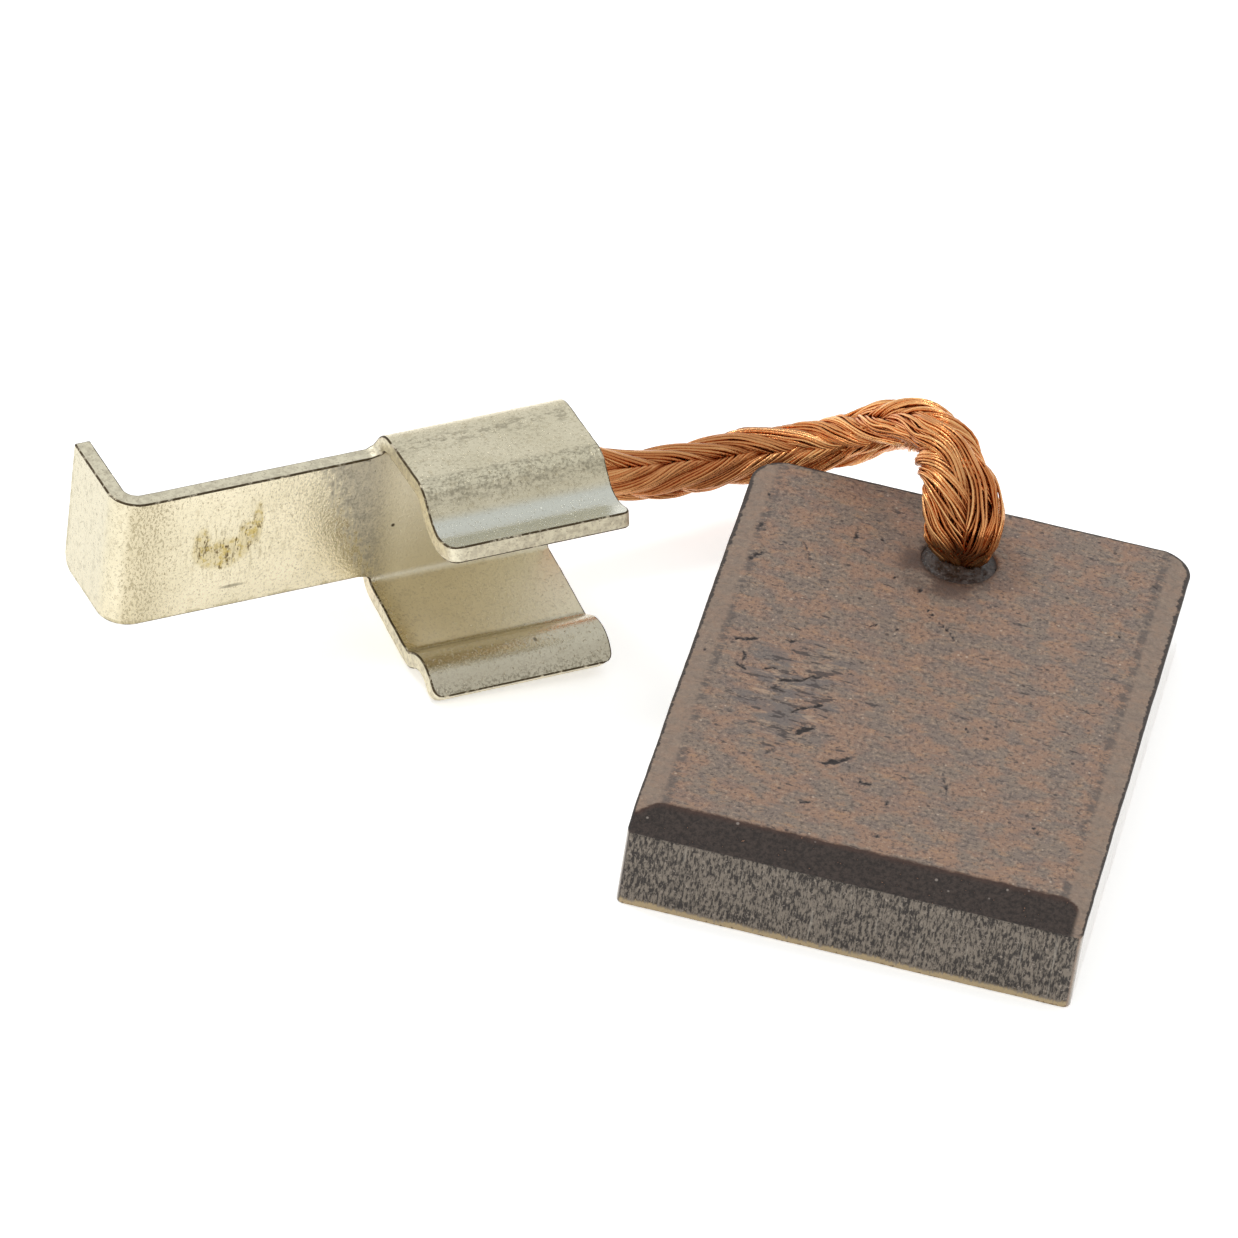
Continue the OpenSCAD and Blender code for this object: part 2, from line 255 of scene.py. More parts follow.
class Tap:
    """An output socket in a finish. Arithmetic on it adds Math nodes to that finish."""

    def __init__(self, tree, socket):
        self.tree, self.socket = tree, socket

    def node(self, kind, settings=(), inputs=(), out=0):
        """Adds a node: its settings first, then a value or a link for each input."""
        made = self.tree.nodes.new(kind)
        for name, value in dict(settings).items():
            if name == "stops":
                ramp = made.color_ramp.elements
                ramp[0].position, ramp[0].color = value[0]
                ramp[1].position, ramp[1].color = value[-1]
                for place, colour in value[1:-1]:
                    ramp.new(place).color = colour
            else:
                setattr(made, name, value)
        for name, value in dict(inputs).items():
            if isinstance(value, Tap):
                self.tree.links.new(value.socket, made.inputs[name])
            else:
                made.inputs[name].default_value = value
        return Tap(self.tree, made.outputs[out])

    def math(self, operation, first, second=0.0):
        """One Math node on numbers or taps."""
        return self.node("ShaderNodeMath", {"operation": operation}, {0: first, 1: second})

    def __add__(self, other):
        if isinstance(other, tuple):
            return self.node("ShaderNodeVectorMath", {"operation": "ADD"}, {0: self, 1: other})
        return self.math("ADD", self, other)

    def __sub__(self, other):
        return self.math("SUBTRACT", self, other)

    def __rsub__(self, other):
        return self.math("SUBTRACT", other, self)

    def __mul__(self, other):
        return self.math("MULTIPLY", self, other)

    __radd__, __rmul__ = __add__, __mul__

    def point_value(self, name):
        """A value that the piece's mesh carries on its points."""
        return self.node("ShaderNodeAttribute", {"attribute_name": name}, {}, "Fac")

    def parts(self):
        """The three parts of a place or a direction."""
        split = self.node("ShaderNodeSeparateXYZ", {}, {"Vector": self}).socket.node
        return [Tap(self.tree, split.outputs[axis]) for axis in "XYZ"]

    def ranged(self, low, high, start=0.0, end=1.0):
        """start below low, end above high, and a smooth step between."""
        return self.node("ShaderNodeMapRange", {"interpolation_type": "SMOOTHSTEP"},
                         {0: self, 1: low, 2: high, 3: start, 4: end})

    def mixed(self, first, second):
        """first where this is 0, second where it is 1; both are colours."""
        return self.node("ShaderNodeMix", {"data_type": "RGBA"},
                         {0: self, 6: first, 7: second}, 2)

    def noise(self, scale, detail=2.0, stretch=(1, 1, 1), roughness=0.55):
        """Cloudy noise at a place in millimetres, scale clouds to the millimetre."""
        place = self.node("ShaderNodeMapping", {}, {"Vector": self, "Scale": stretch})
        return self.node("ShaderNodeTexNoise", {}, {
            "Vector": place, "Scale": scale, "Detail": detail, "Roughness": roughness})

    def grains(self, scale, stretch=(1, 1, 1), feature="F1"):
        """Distance to the nearest of scattered points, at a place in millimetres."""
        place = self.node("ShaderNodeMapping", {}, {"Vector": self, "Scale": stretch})
        return self.node("ShaderNodeTexVoronoi", {"feature": feature}, {
            "Vector": place, "Scale": scale, "Randomness": 1.0})


class Layers:
    """A colour built up in layers, each laid over the last where its mask is 1."""

    def __init__(self, mask, first, second):
        self.top = mask.mixed(first, second)

    def lay(self, mask, colour):
        """Lays one more colour over what is there."""
        self.top = mask.mixed(self.top, colour)


def new_finish(name, metallic, roughness, **fixed):
    """A finish and its shader, with the values that are the same all over set on it,
    and the place on the piece in millimetres."""
    finish = bpy.data.materials.new(name)
    finish.use_nodes = True
    tree = finish.node_tree
    shader = tree.nodes["Principled BSDF"]
    shader.inputs["Metallic"].default_value = metallic
    shader.inputs["Roughness"].default_value = roughness
    for socket, value in fixed.items():
        shader.inputs[socket.replace("_", " ")].default_value = value
    place = Tap(tree, tree.nodes.new("ShaderNodeTexCoord").outputs["Object"])
    place = place.node("ShaderNodeVectorMath", {"operation": "SCALE"}, {0: place, "Scale": 1 / MM})
    return finish, shader, place


def feed(shader, socket, tap):
    """Links a tap to one of the shader's sockets."""
    tap.tree.links.new(tap.socket, shader.inputs[socket])


def bumped(shader, height, depth_mm, strength=1.0):
    """Raises the surface by height times a depth in millimetres."""
    feed(shader, "Normal", height.node("ShaderNodeBump", {}, {
        "Strength": strength, "Distance": depth_mm * MM, "Height": height}))


# Copper: where tarnished, bright, darkened by fingers, and painted shade between the wires
TARNISHED = (0.69, 0.265, 0.09, 1)
BRIGHT_COPPER = (1.0, 0.55, 0.235, 1)
HANDLED_COPPER = (0.50, 0.19, 0.07, 1)
PAINTED_SHADE_COPPER = (0.36, 0.105, 0.03, 1)

copper, copper_shader, copper_place = new_finish("drawn_copper", 1.0, 0.3)
wire_tone = copper_place.point_value("tone")
wire_deep = copper_place.point_value("deep")
tarnish = copper_place.noise(1.1, 3.0)
copper_colour = Layers((wire_tone * 0.5 + tarnish * 0.6).ranged(0.25, 0.85), TARNISHED,
                       BRIGHT_COPPER)
plait_x = copper_place.parts()[0]
handled = plait_x.ranged(-18.0, -14.0) * plait_x.ranged(-7.0, -11.0)
copper_colour.lay(handled * 0.55, HANDLED_COPPER)
# Painted shade between the wires, darkest where a ribbon dives under the others
copper_colour.lay(wire_deep.ranged(0.35, 0.95), PAINTED_SHADE_COPPER)
feed(copper_shader, "Base Color", copper_colour.top)
feed(copper_shader, "Roughness", tarnish.ranged(0.3, 0.7, 0.17, 0.32))
bumped(copper_shader, copper_place.noise(9.0, 2.0), 0.02)

forward_wires = new_piece("pigtail_wires", copper, *plaited_wires(1, 11))
return_wires = new_piece("pigtail_wires_crossing", copper, *plaited_wires(-1, 12))
for wires in (forward_wires, return_wires):
    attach(wires, "root")
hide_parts("pigtail")


# ---- terminal --------------------------------------------------------------
# One length of tinned sheet: end tab, strip and spring clip. It is blanked, so
# its edges are sheared and rough, and the bends and the weld have marked the tin.

TERMINAL_AT = (-34.7088, -5.64788, 1.57361)
TERMINAL_TURN = (0.0, math.radians(-2), math.radians(37.5))
SHEET_T = 0.75
STRIP_W, STRIP_L, CLIP_L = 6.6, 12.5, 8.7
TAB_L, TAB_BEND_R, TAB_CORNER_R = 5.0, 0.6, 0.7
WEB_R, LIP_CORNER_R = 0.45, 0.5
# How rough the sheared edges are: round the clip, and along the strip's top edge
CLIP_ROUGH, STRIP_ROUGH = 0.02, 0.012
SHEARED_CORNER = 0.075 * MM
SHARP = math.radians(35)
# Spacing of the points along a flat and round a bend, and their distances from the
# end of a flat that runs into a bend or ends in a sheared edge
FLAT_STEP, ARC_POINTS = 0.3, 12
TO_BEND, TO_EDGE = [0.15, 0.0], [0.5, 0.34, 0.2, 0.08, 0.0]
CLIP_ROWS = 64
TOLERANCE = 1e-6
# Heat marks over the weld: along the strip, up it, half width and half height
BURNS = [(4.1, 3.6, 0.55, 1.3), (5.15, 3.0, 1.3, 1.1), (6.2, 3.6, 0.5, 1.3),
         (6.75, 4.3, 0.35, 1.5)]
# Bends of the clip from the middle of its back: straight, turn in degrees, inner radius
UPPER_BENDS = [(STRIP_W / 2, -90, 0.4), (3.0, -42, 0.55), (0.94, 60, 1.35), (0.94, 0, 0)]
LOWER_BENDS = [(STRIP_W / 2, -80, 0.4), (3.9, -44, 0.2), (0.5, 74, 0.8), (0.9, 0, 0)]
TAB_BENDS = [(TAB_L - TAB_BEND_R - SHEET_T, 90, TAB_BEND_R),
             (STRIP_L - WEB_R - TAB_BEND_R - SHEET_T, 0, 0)]
terminal_turn = np.array(Matrix.Rotation(TERMINAL_TURN[2], 3, "Z")
                         @ Matrix.Rotation(TERMINAL_TURN[1], 3, "Y"))


def folded(bends, at, heading):
    """Section of a bent sheet: points of its right-hand and left-hand faces and the
    distance walked along its middle. Each bend is an arc about a centre beside the
    path, and the left-hand face is one thickness to the left of the right-hand one."""
    def left(angle):
        """The direction a quarter turn to the left of a heading."""
        return np.stack([-np.sin(angle), np.cos(angle)], axis=-1)

    at, heading = np.array(at, float), math.radians(heading)
    right, headings, walked = [at[None]], [np.array([heading])], [np.zeros(1)]
    for number, (straight, turn, r) in enumerate(bends):
        from_end = TO_EDGE if number == len(bends) - 1 else TO_BEND
        steps = np.linspace(0, straight - from_end[0], max(2, round(straight / FLAT_STEP)))[1:]
        steps = np.concatenate([steps, straight - np.array(from_end[1:])])
        ahead = np.array([np.cos(heading), np.sin(heading)])
        right.append(at + steps[:, None] * ahead)
        headings.append(np.full(len(steps), heading))
        walked.append(walked[-1][-1] + steps)
        at = right[-1][-1]
        if turn:
            path_r = -(r + SHEET_T) if turn > 0 else r
            arc = math.radians(turn) * np.linspace(0, 1, ARC_POINTS + 1)[1:]
            centre = at - path_r * left(np.array(heading))
            right.append(centre + path_r * left(heading + arc))
            headings.append(heading + arc)
            walked.append(walked[-1][-1] + np.abs(arc) * (r + SHEET_T / 2))
            at, heading = right[-1][-1], headings[-1][-1]
    right, headings = np.concatenate(right), np.concatenate(headings)
    return right, right + SHEET_T * left(headings), np.concatenate(walked)


def waves(x, seed, count, longest, shortest):
    """A sum of sines of mixed lengths and starts along x. Short ones are lower, and
    the sum is scaled to run from -1 to 1 or so."""
    random = np.random.default_rng(seed)
    pitch = np.geomspace(longest, shortest, count) * random.uniform(0.8, 1.2, count)
    start = random.uniform(0, 2 * np.pi, count)
    height = (pitch / longest) ** 0.6
    total = (height * np.sin(2 * np.pi * x[..., None] / pitch + start)).sum(-1)
    return total / height.sum() * 1.6


def rounded_in(distance, r):
    """How far a rounded corner cuts in, at a distance from the edge that it ends on:
    the radius less the height of its circle there."""
    short = np.clip(r - distance, 0, r)
    return r - np.sqrt(r**2 - short**2)


def folded_terminal():
    """Rows run across the strip, from the tip of the tab to the clip's far end, and
    columns run along it. The clip's columns follow its section from lip to lip. The
    strip's rows have only the columns of the flat back. Each row lies on the front
    face and again on the back face, and walls close the sheet along its outline."""
    upper, lower = folded(UPPER_BENDS, (0, 0), 90), folded(LOWER_BENDS, (0, 0), 90)
    faces = [np.vstack([(half_low * [1, -1])[:0:-1], half_up])
             for half_low, half_up in zip(lower[:2], upper[:2])]
    walk = np.concatenate([-lower[2][:0:-1], upper[2]])
    tab = folded(TAB_BENDS, (0, TAB_L), -90)

    flat = np.abs(walk) <= STRIP_W / 2 + TOLERANCE
    past = np.clip(np.abs(walk) - STRIP_W / 2, 0, None)
    to_lip = np.where(walk > 0, walk[-1] - walk, walk - walk[0])
    start = STRIP_L - rounded_in(past, WEB_R) + rounded_in(to_lip, LIP_CORNER_R)
    start = start + CLIP_ROUGH * waves(walk, 61, 10, 4, 0.4) * ~flat
    stop = STRIP_L + CLIP_L - rounded_in(to_lip, LIP_CORNER_R)
    stop = stop + CLIP_ROUGH * waves(walk, 62, 10, 4, 0.4)
    share = np.linspace(0, 1, CLIP_ROWS)[:, None]
    clip_x = start + share * (stop - start)
    blank = np.zeros((len(tab[2]) - 1, len(walk)))
    sides = []
    for section, path in zip(faces, tab[:2]):
        tab_x, tab_y = path[:-1, :1], path[:-1, 1:]
        low = rounded_in(tab[2][:-1, None], TAB_CORNER_R)
        rise = low + (section[:, 1] / STRIP_W + 0.5) * (STRIP_W - low)
        at_top = section[:, 1] > STRIP_W / 2 - TOLERANCE
        rise = rise + at_top * STRIP_ROUGH * waves(tab[2][:-1, None] + blank, 63, 12, 5, 0.4)
        front = np.stack([tab_x + blank, tab_y + blank, rise], axis=2)
        back = np.stack([clip_x, -section[:, 0] + 0 * clip_x,
                         section[:, 1] + STRIP_W / 2 + 0 * clip_x], axis=2)
        sides.append(np.vstack([front, back]))
    rows, columns = sides[0].shape[:2]
    points = np.concatenate(sides).reshape(-1, 3)

    cell = np.ones((rows - 1, columns - 1), bool)
    cell[:len(blank)] = flat[:-1] & flat[1:]
    i, j = np.nonzero(cell)
    number = np.arange(2 * rows * columns).reshape(2, rows, columns)
    skin = np.stack([number[0, i, j], number[0, i, j + 1], number[0, i + 1, j + 1],
                     number[0, i + 1, j]], axis=1)
    walls = []
    beside = np.pad(cell, 1)
    for (di, dj), (a, b) in {(-1, 0): ((0, 0), (0, 1)), (0, 1): ((0, 1), (1, 1)),
                             (1, 0): ((1, 1), (1, 0)), (0, -1): ((1, 0), (0, 0))}.items():
        i, j = np.nonzero(cell & ~beside[1 + di:rows + di, 1 + dj:columns + dj])
        first, second = number[:, i + a[0], j + a[1]], number[:, i + b[0], j + b[1]]
        walls.append(np.stack([second[0], first[0], first[1], second[1]], axis=1))
    quads = np.vstack([skin, skin[:, ::-1] + rows * columns, *walls])
    kinds = np.repeat([0, 1], [2 * len(skin), len(quads) - 2 * len(skin)])
    used, quads = np.unique(quads[:, ::-1], return_inverse=True)
    walks = np.broadcast_to(walk, (2 * rows, columns)).reshape(-1)
    world_points = (np.array(TERMINAL_AT) + points[used] @ terminal_turn.T) * MM
    return world_points, quads.reshape(-1, 4), {"walk": walks[used]}, kinds


# Tin: clean, worn, stained and burnt, with painted shade, light and reflection
TIN_DULL = (0.74, 0.665, 0.48, 1)
TIN_PALE = (0.80, 0.72, 0.53, 1)
TIN_SPECKLE = (0.47, 0.41, 0.29, 1)
TIN_MOTTLE = (0.5, 0.42, 0.27, 1)
GREY_STAIN = (0.52, 0.475, 0.385, 1)
STAIN_RIM = (0.27, 0.25, 0.205, 1)
BEND_DULL = (0.57, 0.49, 0.32, 1)
BEND_PITS = (0.36, 0.30, 0.17, 1)
TAB_TIN = (0.64, 0.58, 0.425, 1)
TAB_MOTTLE = (0.45, 0.41, 0.3, 1)
WORN_EDGE = (0.42, 0.36, 0.21, 1)
HEAT_HALO = (0.56, 0.465, 0.25, 1)
BURNT_TIN = (0.11, 0.07, 0.022, 1)
HEAT_YELLOW = (0.48, 0.35, 0.07, 1)
SCALDED = (0.38, 0.32, 0.2, 1)
SCRATCHED = (0.10, 0.08, 0.05, 1)
WORN_LINES = (0.30, 0.26, 0.18, 1)
RUBBED_DIP = (0.27, 0.24, 0.17, 1)
LOWER_FLARE_SHADE = (0.53, 0.48, 0.38, 1)
CREASE_SHADE_AND_LIP_SPECKS = (0.20, 0.17, 0.11, 1)
UPPER_LIP_REFLECTION = (0.66, 0.665, 0.60, 1)
INSIDE_PAINTED_LIGHT = (0.95, 0.88, 0.69, 1)
DARK_DOT = (0.09, 0.07, 0.045, 1)

tin, tin_shader, tin_place = new_finish("tinned_sheet", 1.0, 0.3)
# The place in the terminal's own frame: along the strip, through it and up it
sheet = tin_place.node("ShaderNodeMapping", {"vector_type": "TEXTURE"}, {
    "Vector": tin_place, "Location": TERMINAL_AT, "Rotation": TERMINAL_TURN})
strip_x, strip_y, strip_z = sheet.parts()
# The distance walked along the sheet from the middle of its back to either lip
walked = tin_place.point_value("walk")


def spot(x, z, wide, high):
    """1 in the middle of an oval on the front of the strip, 0 outside it."""
    across, up = (strip_x - x) * (1 / wide), (strip_z - z) * (1 / high)
    return (across * across + up * up).ranged(1.0, 0.0)


# The plating itself: cloudy, speckled and mottled
cloudy = sheet.noise(0.4, 3.0)
mottle = sheet.noise(2.2, 3.0, roughness=0.65)
speckle = sheet.noise(7.0, 2.0, roughness=0.7)
upright = sheet.noise(2.6, 2.0, (2.2, 1.0, 0.5), 0.7)
on_front = strip_y.ranged(0.4, 0.1) * walked.ranged(3.7, 3.5) * walked.ranged(-3.7, -3.5)
tin_colour = Layers(cloudy.ranged(0.35, 0.65), TIN_DULL, TIN_PALE)
tin_colour.lay(speckle.ranged(0.5, 0.68) * 0.65, TIN_SPECKLE)
tin_colour.lay(mottle.ranged(0.55, 0.68) * 0.35, TIN_MOTTLE)
# Grey stain where the strip runs into the clip
stain_from = strip_x + strip_z * 0.42 + (upright - 0.5) * 3.0 + (mottle - 0.5) * 2.0
stain = stain_from.ranged(12.0, 13.2) * strip_x.ranged(13.8, 11.8) * on_front
tin_colour.lay(stain * 0.65, GREY_STAIN)
stain_rim = stain_from.ranged(11.9, 12.5) * stain_from.ranged(15.5, 13.0) * stain
tin_colour.lay(stain_rim * (mottle * 0.5 + speckle * 0.5).ranged(0.4, 0.62) * 0.7, STAIN_RIM)
# Rubbed, pitted band beside the bend of the tab
pitting = sheet.noise(6.5, 2.0, (1.4, 1.0, 0.75), 0.75)
beside_bend = strip_x.ranged(-0.6, 0.7) * strip_x.ranged(3.8, 1.2) * on_front
rubbed = (beside_bend * 0.11 + pitting).ranged(0.6, 0.73)
tin_colour.lay(beside_bend * 0.6, BEND_DULL)
tin_colour.lay(rubbed * 0.55, BEND_PITS)
on_tab = strip_y.ranged(0.4, 1.6) * strip_x.ranged(3.0, 2.0)
tin_colour.lay(on_tab * 0.8, TAB_TIN)
tin_colour.lay(on_tab * (mottle + pitting).ranged(0.98, 1.2) * 0.5, TAB_MOTTLE)
edge_wear = (strip_z.ranged(0.3, 0.08) + strip_y.ranged(TAB_L - 0.4, TAB_L - 0.1)).ranged(
    0.0, 1.0) * strip_x.ranged(12.6, 12.2) * mottle.ranged(0.4, 0.55)
tin_colour.lay(edge_wear * 0.6, WORN_EDGE)
# Brown heat marks over the weld, broken into upright strokes
burn = spot(*BURNS[0])
for oval in BURNS[1:]:
    burn = burn + spot(*oval)
burn = burn.ranged(0.0, 1.0) * on_front
strokes = sheet.noise(2.0, 3.0, (1.9, 1.0, 0.5), 0.75)
burnt = (burn * 0.07 + strokes * 0.7 + pitting * 0.3).ranged(0.57, 0.66) * burn.ranged(0.0, 0.45)
tin_colour.lay(burn * 0.6, HEAT_HALO)
tin_colour.lay(burnt * 0.95, BURNT_TIN)
yellow = burn * mottle.ranged(0.5, 0.6)
tin_colour.lay(yellow * 0.6, HEAT_YELLOW)
scald = spot(5.7, 3.5, 3.6, 2.8) * upright.ranged(0.53, 0.62) * on_front
tin_colour.lay(scald * 0.5, SCALDED)
# A short scratch below the burn
scratch = spot(5.75, 1.08, 0.75, 0.12) * on_front
tin_colour.lay(scratch * 0.6, SCRATCHED)
# Worn lines along the top of the clip, and a dark rubbed band along its dip
streaky = sheet.noise(3.6, 3.0, (0.4, 1.0, 1.0), 0.75)
worn_top = walked.ranged(4.5, 4.9) * walked.ranged(5.9, 5.2)
tin_colour.lay(worn_top * streaky.ranged(0.48, 0.62) * 0.6, WORN_LINES)
dip_band = walked.ranged(7.2, 7.7) * walked.ranged(9.0, 8.3)
rubbed_dip = dip_band * (streaky * 0.6 + speckle * 0.5).ranged(0.44, 0.68)
tin_colour.lay(rubbed_dip * 0.65, RUBBED_DIP)
# Painted shade on the lower flare and along its crease, dark specks along its lip's edge, and a
# greyer upper lip that is a painted reflection
tin_colour.lay(walked.ranged(-8.6, -9.0) * 0.6, LOWER_FLARE_SHADE)
# Painted shade along the crease
crease = walked.ranged(-8.1, -8.3) * walked.ranged(-8.75, -8.5)
tin_colour.lay(crease * 0.5, CREASE_SHADE_AND_LIP_SPECKS)
# Dark specks along the lower lip's edge
front_lip = walked.ranged(-10.9, -11.5)
tin_colour.lay(front_lip * speckle.ranged(0.45, 0.6) * 0.55, CREASE_SHADE_AND_LIP_SPECKS)
# Painted reflection of the pale blue tent overhead, greying the upper lip
tin_colour.lay(walked.ranged(8.9, 9.6) * 0.8, UPPER_LIP_REFLECTION)
# Painted light inside the clip, where its walls shade the tin, brightest on its back and upper
# flange
inside = strip_x.ranged(12.5, 14.0) * walked.ranged(7.5, 3.5) * walked.ranged(-8.3, -8.0)
inside = inside * strip_y.ranged(0.6, 0.3) * strip_z.ranged(6.4, 6.1)
tin_colour.lay(inside * walked.ranged(-4.5, -3.5, 0.45, 0.7), INSIDE_PAINTED_LIGHT)
# Three dark dots: one on the lower lip, two on the back
lip_x, lip_walk = (strip_x - 17.9) * 9, (walked + 10.1) * 8
lip_dot = (lip_x * lip_x + lip_walk * lip_walk).ranged(1.0, 0.2) * 0.7
dots = (spot(13.39, 2.59, 0.12, 0.12) + spot(14.2, 4.55, 0.1, 0.1) * 0.6) * on_front + lip_dot
tin_colour.lay(dots, DARK_DOT)
feed(tin_shader, "Base Color", tin_colour.top)
feed(tin_shader, "Roughness", (mottle * 0.4 + stain * 0.5 + rubbed * 0.3 + inside * 0.5
                               + rubbed_dip * 0.2).ranged(0.1, 0.6, 0.2, 0.48))
bumped(tin_shader, speckle * 0.6 + mottle * 0.3 - rubbed * 0.5, 0.035, 0.9)

# The sheared edge, and its corners where they are dark or rubbed bright
SHEARED_PALE = (0.78, 0.715, 0.54, 1)
SHEARED_DULL = (0.62, 0.56, 0.42, 1)
SHEARED_GRIT = (0.32, 0.26, 0.19, 1)
CORNER_DARK = (0.085, 0.062, 0.035, 1)
CORNER_BRIGHT = (0.56, 0.49, 0.36, 1)

sheared, sheared_shader, sheared_place = new_finish("sheared_tin", 1.0, 0.42)
sheared_cloud = sheared_place.noise(3.0, 4.0)
sheared_grit = sheared_place.noise(8.0, 3.0, roughness=0.7)
sheared_colour = Layers(sheared_cloud.ranged(0.42, 0.62), SHEARED_PALE, SHEARED_DULL)
sheared_colour.lay(sheared_grit.ranged(0.52, 0.7) * 0.6, SHEARED_GRIT)
feed(sheared_shader, "Base Color", sheared_colour.top)
feed(sheared_shader, "Roughness", sheared_grit.ranged(0.3, 0.7, 0.32, 0.52))
bumped(sheared_shader, sheared_cloud * 0.6 + sheared_grit * 0.5, 0.04, 0.9)

burr, burr_shader, burr_place = new_finish("sheared_corner", 1.0, 0.36)
burr_bright = burr_place.noise(2.2, 4.0, roughness=0.7)
burr_colour = Layers(burr_bright.ranged(0.52, 0.63), CORNER_DARK, CORNER_BRIGHT)
feed(burr_shader, "Base Color", burr_colour.top)
feed(burr_shader, "Roughness", burr_bright.ranged(0.45, 0.6, 0.5, 0.3))
bumped(burr_shader, burr_bright, 0.03, 0.8)

# The sheet, with its walls in the sheared finish and their corners rolled over
sheet_points, sheet_quads, sheet_values, sheet_kinds = folded_terminal()
terminal = new_piece("terminal_sheet", tin, sheet_points, sheet_quads, sheet_values)
terminal.data.materials.append(sheared)
terminal.data.materials.append(burr)
terminal.data.polygons.foreach_set("material_index", sheet_kinds.astype(np.int32))
corner = terminal.modifiers.new("sheared_corners", "BEVEL")
corner.width = SHEARED_CORNER
corner.segments = 2
corner.limit_method = "ANGLE"
corner.angle_limit = SHARP
corner.use_clamp_overlap = False
corner.material = 2
corner.harden_normals = True
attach(terminal, "root")
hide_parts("terminal")


# ---- brush block -----------------------------------------------------------
# Copper and graphite powder, pressed and sintered in one piece. The running
# face is ground, the bevel behind it is dark, and the large face has small
# hollows, scratches and grains of copper that show.

BLOCK_HALF = np.array([10.0, 14.0])
BLOCK_T = 4.4
BACK_R, FRONT_R = 1.4, 0.35
NOSE_L, NOSE_DROP = 1.9, 0.62
SIDE_W, SIDE_DROP = 1.4, 0.16
HOLE_AT, HOLE_R = np.array([0.0, 9.8]), 1.7
EDGE_R = 0.07
# How far the outline, the nose bevel's line and the large face waver
RAGGED, NOSE_WAVER, FACE_WAVER = 0.02, 0.06, 0.006
# The hole's worn rim, how deep the hole shows, and the line along the face's edge
RIM_W, RIM_DROP, HOLE_DEEP, EDGE_LINE_W = 0.12, 0.05, 0.6, 0.17
# Points round the block, rings over the large face, points round a corner, rows down
# the side, and the angles of the rows over an edge
AROUND, ACROSS, CORNER_POINTS, SIDE_ROWS = 600, 136, 25, 10
EDGE_ANGLES = np.radians([22.5, 45, 67.5, 90])
# Distances below which points are joined and edges dropped
SAME_POINT, NO_LENGTH = 1e-8, 1e-9
# Hollows and scratches: two ends, width, depth as a share of MARK_DEPTH
MARKS = np.array([
    (-6.79, 8.45, -6.03, 6.96, 0.1, 0.5), (-7.21, 5.17, -5.02, 5.5, 0.07, 0.35),
    (-8.23, 0.44, -7.32, 0.81, 0.16, 0.9), (-5.95, 1.13, -5.56, 1.44, 0.14, 0.8),
    (-7.7, -0.41, -7.61, -0.83, 0.2, 0.7), (-7.8, -1.21, -7.35, -1.64, 0.15, 0.8),
    (-6.64, -1.21, -6.22, -1.04, 0.13, 0.8), (-5.79, -1.85, -4.11, -0.88, 0.17, 0.85),
    (-6.19, -2.54, -5.58, -2.45, 0.28, 0.5), (-4.94, -3.86, -3.73, -2.77, 0.12, 0.8),
    (-3.84, -2.89, -3.76, -2.86, 0.2, 1.0), (-4.4, -5.22, -3.81, -4.61, 0.22, 1.0),
    (-4.16, -5.5, -3.7, -5.62, 0.12, 0.7), (-2.82, -6.91, -1.83, -6.07, 0.22, 0.9),
    (-5.28, -6.99, -5.06, -6.76, 0.3, 0.6), (-1.19, -7.53, -0.65, -7.54, 0.16, 0.9),
    (-3.37, -9.87, -2.85, -9.81, 0.14, 0.8), (0.27, -8.65, 0.33, -8.49, 0.14, 0.7),
    (0.34, -10.83, 0.36, -11.12, 0.16, 0.7), (-2.39, 7.52, -2.38, 7.5, 0.17, 0.9),
    (-1.23, 6.92, -1.22, 6.87, 0.2, 1.0), (-1.7, 3.78, -1.7, 3.75, 0.17, 0.9),
    (2.6, -2.29, 2.6, -2.33, 0.17, 0.9), (7.83, 7.02, 7.86, 6.88, 0.13, 0.9),
    (8.58, 11.2, 8.69, 11.09, 0.25, 0.7), (-0.58, 5.66, 1.1, 3.72, 0.09, 0.6),
    (2.16, -5.61, 2.7, -7.03, 0.09, 0.6), (1.95, 6.83, 2.18, 7.08, 0.4, 0.35),
    (6.82, -8.29, 6.9, -8.25, 0.18, 0.9), (6.58, -7.94, 7.25, -7.75, 0.07, 0.5),
    (-4.7, 9.61, -4.7, 10.08, 0.16, 0.6), (-3.53, 9.92, -3.43, 9.88, 0.15, 0.8),
    (-5.87, 10.0, -5.83, 10.02, 0.13, 0.6), (-8.57, 6.72, -8.43, 7.16, 0.18, 0.8),
    (-8.76, 6.56, -8.89, 6.28, 0.14, 0.7), (-8.97, 8.67, -8.86, 9.03, 0.3, 0.6),
    (-8.99, 11.26, -8.95, 11.51, 0.15, 0.7), (-7.53, 1.64, -7.53, 1.61, 0.1, 0.8),
    (-9.36, -0.62, -9.33, -0.76, 0.14, 0.6), (-9.53, -0.23, -9.03, -0.03, 0.09, 0.5),
    (-2.71, 3.42, -2.49, 3.66, 0.08, 0.6), (-4.33, 0.93, -4.21, 0.98, 0.12, 0.6)])
MARK_DEPTH, MARK_WAVER, MARK_SPREAD = 0.06, 0.09, 0.62


